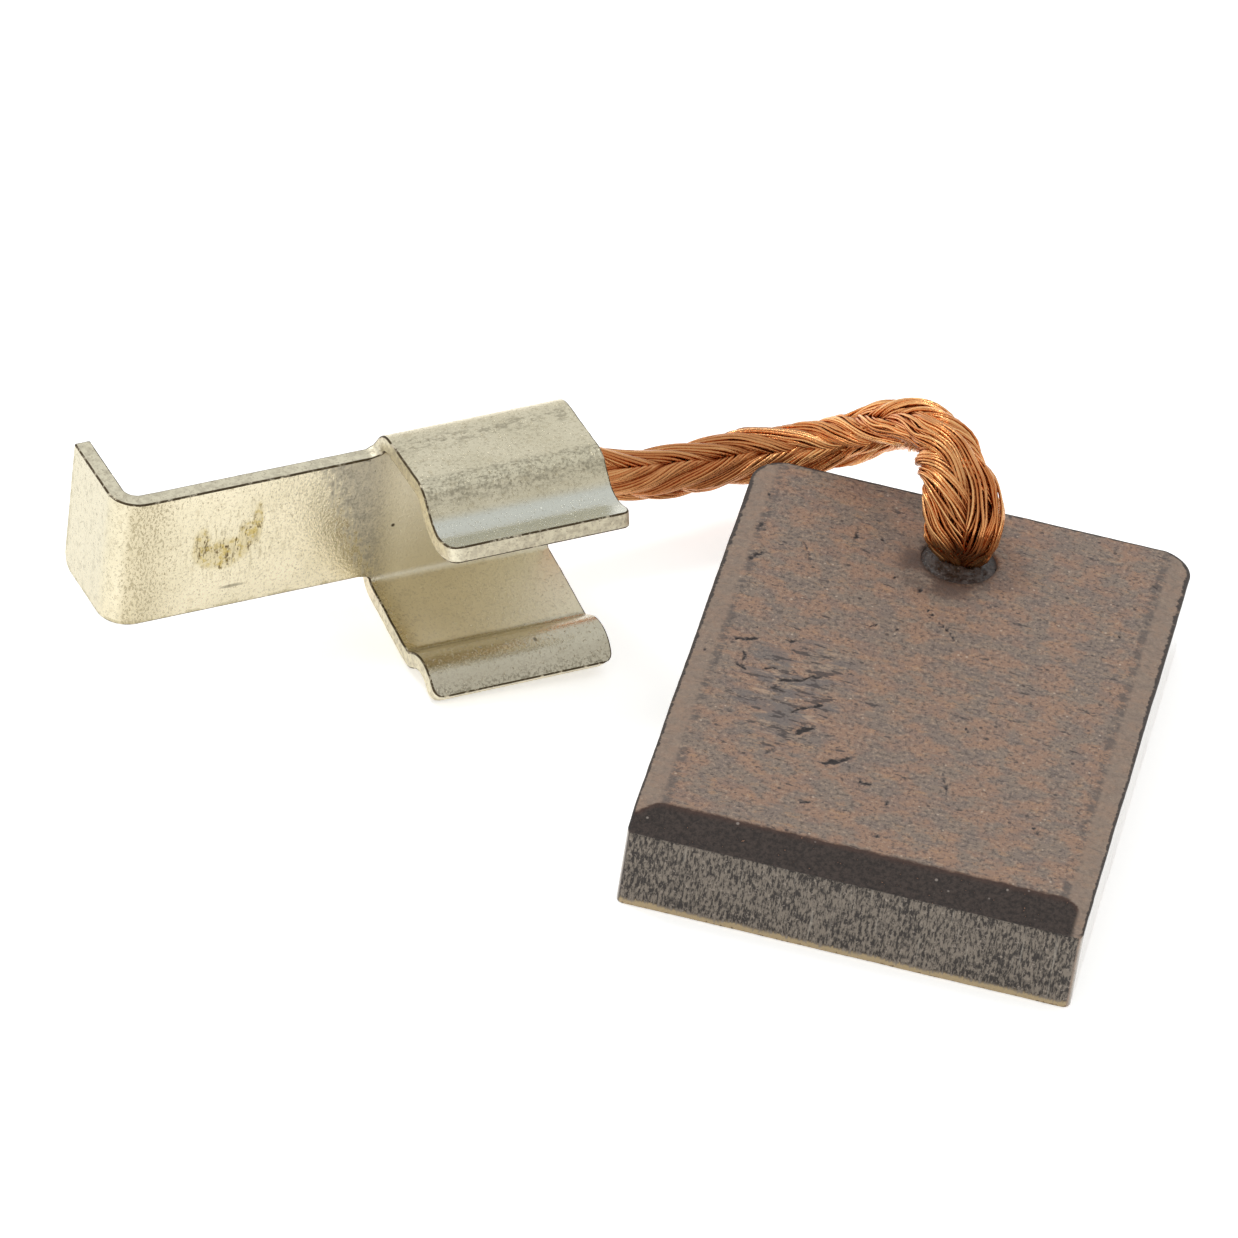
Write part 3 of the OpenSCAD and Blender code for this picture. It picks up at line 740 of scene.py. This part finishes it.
def mark_depth(x, y):
    """How far each point is sunk by the hollows and scratches, 0 to 1. Places are
    first pushed about by short waves, so that no mark is straight. A mark falls off
    as a bell with the distance from the line between its ends, and thins to them."""
    x, y = (x + MARK_WAVER * waves(y + 0.3 * x, 31, 6, 1.1, 0.25),
            y + MARK_WAVER * waves(x - 0.4 * y, 32, 6, 1.1, 0.25))
    sunk = np.zeros_like(x)
    for x0, y0, x1, y1, wide, share in MARKS:
        run = np.array([x1 - x0, y1 - y0])
        t = np.clip(((x - x0) * run[0] + (y - y0) * run[1]) / (run @ run), 0, 1)
        off = np.hypot(x - x0 - t * run[0], y - y0 - t * run[1])
        off = off / (MARK_SPREAD * wide * (1.15 - 0.5 * np.abs(2 * t - 1)))
        sunk = np.maximum(sunk, share * np.exp(-(off**2)))
    return sunk


def block_outline(count):
    """Points at equal steps round a rectangle whose four corners are arcs, larger ones
    at the back, and their distances along it."""
    corners = [((1, 1), BACK_R, 0), ((-1, 1), BACK_R, 90), ((-1, -1), FRONT_R, 180),
               ((1, -1), FRONT_R, 270)]
    ring = []
    for side, r, start in corners:
        angle = np.radians(start + np.linspace(0, 90, CORNER_POINTS))
        middle_of = (BLOCK_HALF - r) * side
        ring.append(middle_of + r * np.stack([np.cos(angle), np.sin(angle)], axis=1))
    ring = np.vstack(ring + [ring[0][:1]])
    step = np.concatenate([[0], np.cumsum(np.hypot(*np.diff(ring, axis=0).T))])
    at = np.linspace(0, step[-1], count, endpoint=False)
    return np.stack([np.interp(at, step, ring[:, k]) for k in (0, 1)], axis=1), at


def pressed_block():
    """Rings of points from the hole's floor, up its wall and out over the large face
    to the outline, then over the edge, down the side and in under the block.
    The large face is the thickness, less the deeper of the bevels, less the marks."""
    outline, at = block_outline(AROUND)
    toward = outline - HOLE_AT
    hole = HOLE_AT + HOLE_R * toward / np.linalg.norm(toward, axis=1, keepdims=True)
    ragged = RAGGED * waves(at, 5, 16, 9.0, 0.35)
    outward = unit(np.stack([np.gradient(outline[:, 1]), -np.gradient(outline[:, 0])], axis=1))

    share = (np.linspace(0, 1, ACROSS) ** 0.8)[:, None, None]
    rim_line = outline + (ragged - EDGE_R)[:, None] * outward
    flat = hole + share * (rim_line - hole)
    x, y = flat[..., 0], flat[..., 1]
    nose = NOSE_L + NOSE_WAVER * waves(x, 3, 8, 6.0, 0.5)
    past_nose = np.clip(1 - (y + BLOCK_HALF[1]) / nose, 0, 1)
    past_side = np.clip(1 - (BLOCK_HALF[0] - np.abs(x)) / SIDE_W, 0, 1)
    drop = np.maximum(NOSE_DROP * past_nose, SIDE_DROP * past_side)
    sunk = mark_depth(x, y)
    from_hole = np.hypot(x - HOLE_AT[0], y - HOLE_AT[1]) - HOLE_R
    rim = np.exp(-((from_hole / RIM_W) ** 2))
    z = BLOCK_T - drop - MARK_DEPTH * sunk - RIM_DROP * rim
    z = z + FACE_WAVER * waves(x + 0.7 * y, 8, 6, 5, 0.8)

    floor = [HOLE_AT + inner * (hole - HOLE_AT) for inner in (0.0, 1.0)]
    rings = floor + list(flat)
    heights = [np.full(AROUND, BLOCK_T - HOLE_DEEP)] * len(floor) + list(z)
    for angle in EDGE_ANGLES:
        rings.append(outline + (ragged + EDGE_R * (np.sin(angle) - 1))[:, None] * outward)
        heights.append(z[-1] - EDGE_R * (1 - np.cos(angle)))
    upper = heights[-1]
    for down in np.linspace(0, 1, SIDE_ROWS + 1)[1:]:
        rings.append(rings[-1])
        heights.append(upper * (1 - down) + EDGE_R * down)
    for angle in EDGE_ANGLES:
        rings.append(outline + (ragged + EDGE_R * (np.cos(angle) - 1))[:, None] * outward)
        heights.append(np.full(AROUND, EDGE_R * (1 - np.sin(angle))))
    for inner in (0.8, 0.4, 0.0):
        rings.append(outline * inner)
        heights.append(np.zeros(AROUND))
    points = np.concatenate([np.stack(rings), np.stack(heights)[..., None]], axis=2) * MM
    dips, edge = np.zeros((2, len(rings), AROUND))
    large_face = slice(len(floor), len(floor) + ACROSS)
    dips[large_face] = sunk
    to_edge = np.linalg.norm(flat - rim_line, axis=2)
    edge[large_face] = np.exp(-((to_edge / EDGE_LINE_W) ** 2))
    edge[large_face.stop:large_face.stop + len(EDGE_ANGLES)] = 1
    return points.reshape(-1, 3), grid_faces(len(rings), AROUND, True)[:, ::-1], {
        "sunk": dips, "edge": edge}


def closed_up(piece):
    """Joins the points that lie on each other, where a grid comes to one point."""
    shape = bmesh.new()
    shape.from_mesh(piece.data)
    bmesh.ops.remove_doubles(shape, verts=shape.verts, dist=SAME_POINT)
    bmesh.ops.dissolve_degenerate(shape, edges=shape.edges, dist=NO_LENGTH)
    shape.to_mesh(piece.data)
    shape.free()
    return piece


# The large face: copper and graphite, its grains, hollows and scuffs
GREY_BROWN = (0.265, 0.20, 0.155, 1)
RED_BROWN = (0.335, 0.205, 0.14, 1)
GREY_TINT = (0.205, 0.155, 0.135, 1)
COPPER_STREAK = (0.46, 0.265, 0.145, 1)
GRAPHITE_FLECK = (0.155, 0.122, 0.107, 1)
GRAPHITE_GRIT = (0.105, 0.077, 0.063, 1)
COPPER_GRIT = (0.48, 0.34, 0.245, 1)
COPPER_SPECK = (0.60, 0.47, 0.36, 1)
DARK_PIT = (0.07, 0.05, 0.045, 1)
GREY_SMEAR = (0.16, 0.14, 0.135, 1)
BRIGHT_GRAIN = (0.52, 0.36, 0.25, 1)
TORN_GRAPHITE = (0.065, 0.05, 0.047, 1)
BEVEL_BROWN = (0.30, 0.22, 0.165, 1)
BEVEL_LINE = (0.105, 0.085, 0.075, 1)
DARK_BY_HOLE = (0.10, 0.068, 0.055, 1)
HOLLOW_RIM = (0.11, 0.085, 0.075, 1)
HOLLOW_FLOOR = (0.03, 0.022, 0.02, 1)
EDGE_DARK = (0.035, 0.028, 0.026, 1)

# The nose bevel
NOSE_BLACK = (0.022, 0.015, 0.012, 1)
NOSE_BROWN = (0.062, 0.043, 0.035, 1)
NOSE_FRINGE = (0.075, 0.035, 0.024, 1)
NOSE_COPPER = (0.4, 0.2, 0.12, 1)
NOSE_SPECK = (0.36, 0.3, 0.26, 1)

# The running face and its foot
FACE_DARK = (0.034, 0.027, 0.023, 1)
FACE_PALE = (0.215, 0.178, 0.142, 1)
FACE_GRIT = (0.36, 0.30, 0.25, 1)
FACE_FLECK = (0.03, 0.024, 0.022, 1)
FACE_SCORE = (0.36, 0.32, 0.27, 1)
FOOT_PALE = (0.46, 0.345, 0.195, 1)
FOOT_NICK = (0.14, 0.085, 0.035, 1)

# The burnished sides
SIDE_PALE = (0.31, 0.235, 0.17, 1)
SIDE_BROWN = (0.20, 0.15, 0.11, 1)
SIDE_TORN = (0.07, 0.052, 0.045, 1)

carbon, carbon_shader, carbon_place = new_finish(
    "copper_graphite", 0.0, 0.6, Specular_IOR_Level=0.35, Coat_Roughness=0.06, Coat_IOR=2.2)
block_x, block_y, block_z = carbon_place.parts()
hollow = carbon_place.point_value("sunk")
edge_line = carbon_place.point_value("edge")
patches = carbon_place.noise(0.7, 3.0, (0.9, 1.2, 1.0), 0.6)
tints = (carbon_place + (40, 7, 3)).noise(1.3, 3.0, (0.8, 1.2, 1.0), 0.65)
streaks = carbon_place.noise(1.9, 3.0, (0.6, 1.5, 1.0), 0.75)
flecks = (carbon_place + (9, 31, 3)).noise(2.3, 3.0, (0.65, 1.4, 1.0), 0.75)
grit = carbon_place.noise(5.0, 2.0, roughness=0.75)
specks, pits = carbon_place.grains(1.3), (carbon_place + (5, 5, 5)).grains(0.8)
block_colour = Layers(patches.ranged(0.42, 0.58), GREY_BROWN, RED_BROWN)
block_colour.lay(tints.ranged(0.5, 0.6) * 0.45, GREY_TINT)
block_colour.lay(streaks.ranged(0.54, 0.66) * tints.ranged(0.55, 0.45) * 0.5, COPPER_STREAK)
block_colour.lay(flecks.ranged(0.54, 0.64) * patches.ranged(0.55, 0.45) * 0.65, GRAPHITE_FLECK)
block_colour.lay(grit.ranged(0.52, 0.64) * 0.7, GRAPHITE_GRIT)
block_colour.lay(grit.ranged(0.44, 0.33) * 0.6, COPPER_GRIT)
block_colour.lay(specks.ranged(0.09, 0.05) * 0.7, COPPER_SPECK)
block_colour.lay(pits.ranged(0.09, 0.05) * 0.85, DARK_PIT)
# Scuffed part with grey smears, torn bits and bright grains
scuff_x, scuff_y = (block_x + 5.2) * 0.34, (block_y + 2.2) * 0.2
scuffed = (scuff_x * scuff_x + scuff_y * scuff_y).ranged(1.2, 0.2)
smears = (carbon_place + (3, 3, 9)).noise(1.0, 2.0, (0.5, 1.5, 1.0), 0.65)
torn = (carbon_place + (13, 3, 9)).noise(1.5, 3.0, (0.55, 1.6, 1.0), 0.75)
block_colour.lay(scuffed * smears.ranged(0.48, 0.58) * 0.65, GREY_SMEAR)
block_colour.lay(scuffed * torn.ranged(0.42, 0.34) * 0.6, BRIGHT_GRAIN)
block_colour.lay((scuffed * 0.085 + torn).ranged(0.635, 0.68) * 0.85, TORN_GRAPHITE)
# Smooth side bevels, and a dark broken line where each begins
to_side = block_x.math("ABSOLUTE", block_x) + (tints - 0.5) * 0.5
side_bevel = to_side.ranged(8.7, 9.1)
block_colour.lay(side_bevel * 0.6, BEVEL_BROWN)
bevel_line = to_side.ranged(8.5, 8.7) * to_side.ranged(9.1, 8.9)
block_colour.lay(bevel_line * (tints * 0.5 + flecks * 0.6).ranged(0.49, 0.61) * 0.65, BEVEL_LINE)
# Darker patch in front of the hole
from_hole_x, from_hole_y = (block_x + 0.5) * 0.45, (block_y - 9.0) * 0.4
round_hole = (from_hole_x * from_hole_x + from_hole_y * from_hole_y).ranged(1.25, 0.45)
block_colour.lay(round_hole * (tints + patches).ranged(0.7, 1.05) * 0.85, DARK_BY_HOLE)
# Ragged rims and dark floors of the hollows
hollow_edge = (hollow + (grit - 0.5) * 1.2 + (torn - 0.5) * 1.4).ranged(0.08, 0.4)
block_colour.lay(hollow_edge * hollow.ranged(0.02, 0.15) * 0.8, HOLLOW_RIM)
hollow_deep = (hollow + (torn - 0.5) * 2.0 + (grit - 0.5) * 0.8).ranged(0.35, 0.7)
block_colour.lay(hollow_deep * hollow.ranged(0.05, 0.25), HOLLOW_FLOOR)
# Dark nose bevel with a brown fringe, stopping short of the right-hand side
nose_from = block_y + 12.12 + (flecks - 0.5) * 0.35 + to_side.ranged(8.9, 10.1) * 0.8
on_nose = nose_from.ranged(0.1, -0.1) * block_x.ranged(9.65, 9.4)
nose_colour = Layers(grit.ranged(0.3, 0.68), NOSE_BLACK, NOSE_BROWN)
nose_colour.lay(nose_from.ranged(-0.4, 0.1), NOSE_FRINGE)
nose_colour.lay(grit.ranged(0.3, 0.25) * 0.7, NOSE_COPPER)
nose_colour.lay(specks.ranged(0.12, 0.06) * 0.7, NOSE_SPECK)
block_colour.lay(on_nose, nose_colour.top)
# The running face, ground in upright strokes, with a pale line along its foot
grain = carbon_place.noise(7.0, 2.0, (1.1, 1.0, 0.34), 0.75)
shade = carbon_place.noise(0.7, 2.0, roughness=0.65)
face_colour = Layers((grain * 0.85 + shade * 0.2).ranged(0.44, 0.61), FACE_DARK, FACE_PALE)
face_colour.lay(grit.ranged(0.42, 0.32) * 0.6, FACE_GRIT)
face_colour.lay(flecks.ranged(0.56, 0.66) * 0.5, FACE_FLECK)
upright_score = carbon_place.noise(1.5, 2.0, (2.4, 1.0, 0.12), 0.7)
face_colour.lay(upright_score.ranged(0.62, 0.7) * 0.45, FACE_SCORE)
foot = (block_z + (grain - 0.5) * 0.6 + (shade - 0.5) * 0.4).ranged(0.38, 0.2)
face_colour.lay(foot * 0.85, FOOT_PALE)
foot_nicks = (block_z + (grit - 0.5) * 0.7).ranged(0.06, -0.04)
face_colour.lay(foot_nicks, FOOT_NICK)
on_face = block_y.ranged(-13.9, -13.97)
block_colour.lay(on_face, face_colour.top)
# Burnished sides, and a thin dark line round the edge of the large face
facing = carbon_place.node("ShaderNodeNewGeometry", {}, {}, "Normal").parts()[0]
burnished = facing.math("ABSOLUTE", facing).ranged(0.6, 0.9) * block_z.ranged(4.2, 4.1)
side_colour = Layers((grit * 0.5 + flecks * 0.5).ranged(0.4, 0.6), SIDE_PALE, SIDE_BROWN)
side_colour.lay(torn.ranged(0.6, 0.68) * 0.8, SIDE_TORN)
block_colour.lay(burnished, side_colour.top)
past_edge = (edge_line + (flecks - 0.5) * 2.0).ranged(0.45, 0.85) * block_y.ranged(-13.85, -13.7)
block_colour.lay(past_edge * 0.9, EDGE_DARK)
feed(carbon_shader, "Base Color", block_colour.top)
feed(carbon_shader, "Roughness", (on_nose * 0.3 + grit * 0.3 - burnished).ranged(
    -0.6, 0.6, 0.3, 0.68))
feed(carbon_shader, "Metallic", burnished * 0.6)
feed(carbon_shader, "Coat Weight", burnished)
bumped(carbon_shader, grit - hollow + on_face * grain, 0.06, 0.9)

block = closed_up(new_piece("brush_block", carbon, *pressed_block()))
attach(block, "root")
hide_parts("block")


# ---- tamped compound -------------------------------------------------------
# Dark contact powder, tamped into the hole round the wires. Its face is lumpy
# and sits a little below the block's.

TAMP_RINGS, TAMP_AROUND = 60, 180
# How far below the large face it lies, how far it bites into the hole's wall, how
# deep it goes, and how high its lumps and its swelling are
TAMP_DOWN, TAMP_BITE, TAMP_FOOT = 0.15, 0.03, 0.5
LUMP_H, SWELLING_H = 0.07, 0.05


def tamped_disc():
    """A disc a little below the large face, on a short wall. Its lumps are products
    of two sums of waves, and it swells by half a sine from its middle to its rim."""
    r = np.linspace(1, 0, TAMP_RINGS)[:, None] * (HOLE_R + TAMP_BITE)
    a = np.linspace(0, 2 * np.pi, TAMP_AROUND, endpoint=False)[None, :]
    x, y = r * np.cos(a), r * np.sin(a)
    lumps = waves(x + 0.35 * y, 21, 7, 1.6, 0.16) * waves(y - 0.3 * x, 22, 7, 1.5, 0.15)
    z = BLOCK_T - TAMP_DOWN + LUMP_H * lumps + SWELLING_H * np.sin(np.pi * r / HOLE_R)
    face = np.stack([x, y, z], axis=2)
    foot = np.stack([x[:1], y[:1], np.full_like(x[:1], BLOCK_T - TAMP_FOOT)], axis=2)
    points = (np.concatenate([foot * [0, 0, 1], foot, face]) + [*HOLE_AT, 0]) * MM
    return points.reshape(-1, 3), grid_faces(TAMP_RINGS + 2, TAMP_AROUND, True)


# Powder and its glints
POWDER_DARK = (0.028, 0.022, 0.02, 1)
POWDER_GREY = (0.105, 0.088, 0.08, 1)
POWDER_GLINT = (0.34, 0.33, 0.31, 1)

powder, powder_shader, powder_place = new_finish("contact_powder", 0.0, 0.45)
crumbs = powder_place.noise(3.4, 5.0, roughness=0.65)
glints = powder_place.grains(5.0)
powder_colour = Layers(crumbs.ranged(0.38, 0.62), POWDER_DARK, POWDER_GREY)
powder_colour.lay(glints.ranged(0.2, 0.1) * 0.5, POWDER_GLINT)
feed(powder_shader, "Base Color", powder_colour.top)
feed(powder_shader, "Roughness", crumbs.ranged(0.35, 0.6, 0.25, 0.6))
bumped(powder_shader, crumbs + glints * 0.3, 0.08, 0.9)
tamping = closed_up(new_piece("tamped_face", powder, *tamped_disc()))
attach(tamping, "root")
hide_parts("tamping")


# ---- welded end ------------------------------------------------------------
# The last wires of the pigtail, pressed flat and resistance-welded to the back
# of the strip. The plait still shows as shallow chevrons that fade at the end.

# Along the strip: where the slab starts, its length, its taper, and how far the
# round end goes on inside the plait
WELD_X, WELD_L, TAPER_L, INTO_PLAIT = 3.4, 4.0, 2.2, 0.8
WELD_HALF_H, WELD_T = 1.7, 1.1
CORD_Y, WELD_Z, CORD_R = 2.15, 3.3, 0.98
WELD_ROWS, WELD_AROUND = 120, 120
# How much lower the slab's skin lies, so that its ridges end at the full size
RIDGE_ROOM_Y, RIDGE_ROOM_Z = 0.02, 0.03
# Pressed ridges: wires round the section and chevrons along it, how they lean, and
# their heights; and the length over which the cut end is rounded
WIRE_RIDGES, WIRE_LEAN, WIRE_H = 9, 1.2, 0.02
CHEVRON_PITCH, CHEVRON_LEAN, CHEVRON_H = 1.3, 0.9, 0.035
CUT_END_L = 0.25


def pressed_end():
    """Section along the strip: a rounded slab that swells, over the taper, into the
    round plait. The slab is a superellipse whose power falls from 6 to 2."""
    x = np.linspace(WELD_X, WELD_X + WELD_L + TAPER_L + INTO_PLAIT, WELD_ROWS)[:, None]
    swell = np.clip((x - WELD_X - WELD_L) / TAPER_L, 0, 1)
    swell = swell**2 * (3 - 2 * swell)
    a = np.linspace(0, 2 * np.pi, WELD_AROUND, endpoint=False)[None, :]
    power = 6 - 4 * swell
    flat_y, flat_z = WELD_T / 2 - RIDGE_ROOM_Y, WELD_HALF_H - RIDGE_ROOM_Z
    c, s = np.cos(a), np.sin(a)
    reach = (np.abs(c) ** power + np.abs(s) ** power) ** (-1 / power)
    chevrons = np.sin(2 * np.pi * (x / CHEVRON_PITCH + np.abs(s) * CHEVRON_LEAN))
    wires = np.sin(2 * np.pi * (s * WIRE_RIDGES + x * WIRE_LEAN * np.sign(s)))
    ridge_h = WIRE_H * (0.3 + swell) * wires + CHEVRON_H * (0.25 + swell) * chevrons
    end = np.clip((x - WELD_X) / CUT_END_L, 0, 1) ** 0.5
    flat_at = SHEET_T + flat_y + RIDGE_ROOM_Y
    y = flat_at + (CORD_Y - flat_at) * swell
    y = y + ((flat_y + (CORD_R - flat_y) * swell) * reach * end + ridge_h * (c > -0.2)) * c
    half_z = flat_z + (CORD_R - flat_z) * swell
    z = WELD_Z + (half_z * reach * (0.85 + 0.15 * end) + ridge_h) * s
    points = np.stack([x + 0 * y, y, z], axis=2)
    ends = [np.broadcast_to(row.mean(0), row.shape)[None] for row in (points[0], points[-1])]
    points = np.concatenate([ends[0], points, ends[1]])
    world_points = (np.array(TERMINAL_AT) + points.reshape(-1, 3) @ terminal_turn.T) * MM
    return world_points, grid_faces(WELD_ROWS + 2, WELD_AROUND, True)


# Copper that the weld has heated, and its soot
FUSED_DARK = (0.46, 0.22, 0.12, 1)
FUSED_BRIGHT = (0.80, 0.43, 0.21, 1)
FUSED_SOOT = (0.24, 0.13, 0.08, 1)

fused, fused_shader, fused_place = new_finish("fused_copper", 1.0, 0.42)
heat = fused_place.noise(0.8, 3.0)
smudge = fused_place.noise(4.0, 3.0)
fused_colour = Layers(heat.ranged(0.38, 0.62), FUSED_DARK, FUSED_BRIGHT)
fused_colour.lay(smudge.ranged(0.52, 0.7) * 0.6, FUSED_SOOT)
feed(fused_shader, "Base Color", fused_colour.top)
feed(fused_shader, "Roughness", smudge.ranged(0.3, 0.7, 0.3, 0.55))
bumped(fused_shader, smudge + heat * 0.4, 0.04)
welded_end = closed_up(new_piece("pressed_wires", fused, *pressed_end()))
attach(welded_end, "root")
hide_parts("welded_end")


# ---- floor and light -------------------------------------------------------
# A plain white table in a light tent. The tent is pale behind and overhead and
# darker toward the front and the right, and one soft lamp hangs inside it.

TABLE_HALF, TABLE_DOWN = 1.5, 0.02 * MM
TABLE_WHITE, TABLE_GLOW, GLOW_STRENGTH = (0.93, 0.93, 0.925, 1), (1, 0.995, 0.98, 1), 0.5
# Up the tent, from the horizon to overhead, and its darker side
TENT_STOPS = [(0.0, (1.0, 1.0, 0.98, 1)), (0.4, (0.86, 0.875, 0.88, 1)),
              (0.7, (0.745, 0.775, 0.80, 1)), (1.0, (0.80, 0.835, 0.86, 1))]
TENT_SHADE = (0.6, 0.6, 0.59, 1)
LAMP_AT, LAMP_SIZE, LAMP_POWER = (-0.32, 0.1, 0.55), 0.14, 0.75

white, white_shader, _ = new_finish("white_table", 0.0, 0.7)
white_shader.inputs["Base Color"].default_value = TABLE_WHITE
white_shader.inputs["Emission Color"].default_value = TABLE_GLOW
white_shader.inputs["Emission Strength"].default_value = GLOW_STRENGTH
table_corners = [(x * TABLE_HALF, y * TABLE_HALF, -TABLE_DOWN)
                 for x, y in ((-1, -1), (1, -1), (1, 1), (-1, 1))]
table = new_piece("table", white, np.array(table_corners), np.array([[0, 1, 2, 3]]))

world = bpy.data.worlds.new("light_tent")
bpy.context.scene.world = world
world.use_nodes = True
tent = world.node_tree.nodes["Background"]
tent_place = world.node_tree.nodes.new("ShaderNodeTexCoord").outputs["Generated"]
right, back, up = Tap(world.node_tree, tent_place).parts()
tent_colour = up.node("ShaderNodeValToRGB", {"stops": TENT_STOPS}, {"Fac": up})
shaded = (back.ranged(0.1, -0.6) * 0.5 + right.ranged(0.15, 0.8) * 0.4).ranged(0, 0.9)
tent_colour = (shaded * up.ranged(0.1, 0.5)).mixed(tent_colour, TENT_SHADE)
world.node_tree.links.new(tent_colour.socket, tent.inputs["Color"])
tent.inputs["Strength"].default_value = 1.0

lamp_light = bpy.data.lights.new("soft_lamp", "AREA")
lamp_light.size = LAMP_SIZE
lamp_light.energy = LAMP_POWER
lamp = bpy.data.objects.new("soft_lamp", lamp_light)
lamp.location = LAMP_AT
lamp.rotation_euler = (-lamp.location).to_track_quat("-Z", "Y").to_euler()
bpy.context.scene.collection.objects.link(lamp)
bpy.context.scene.view_settings.view_transform = "Standard"
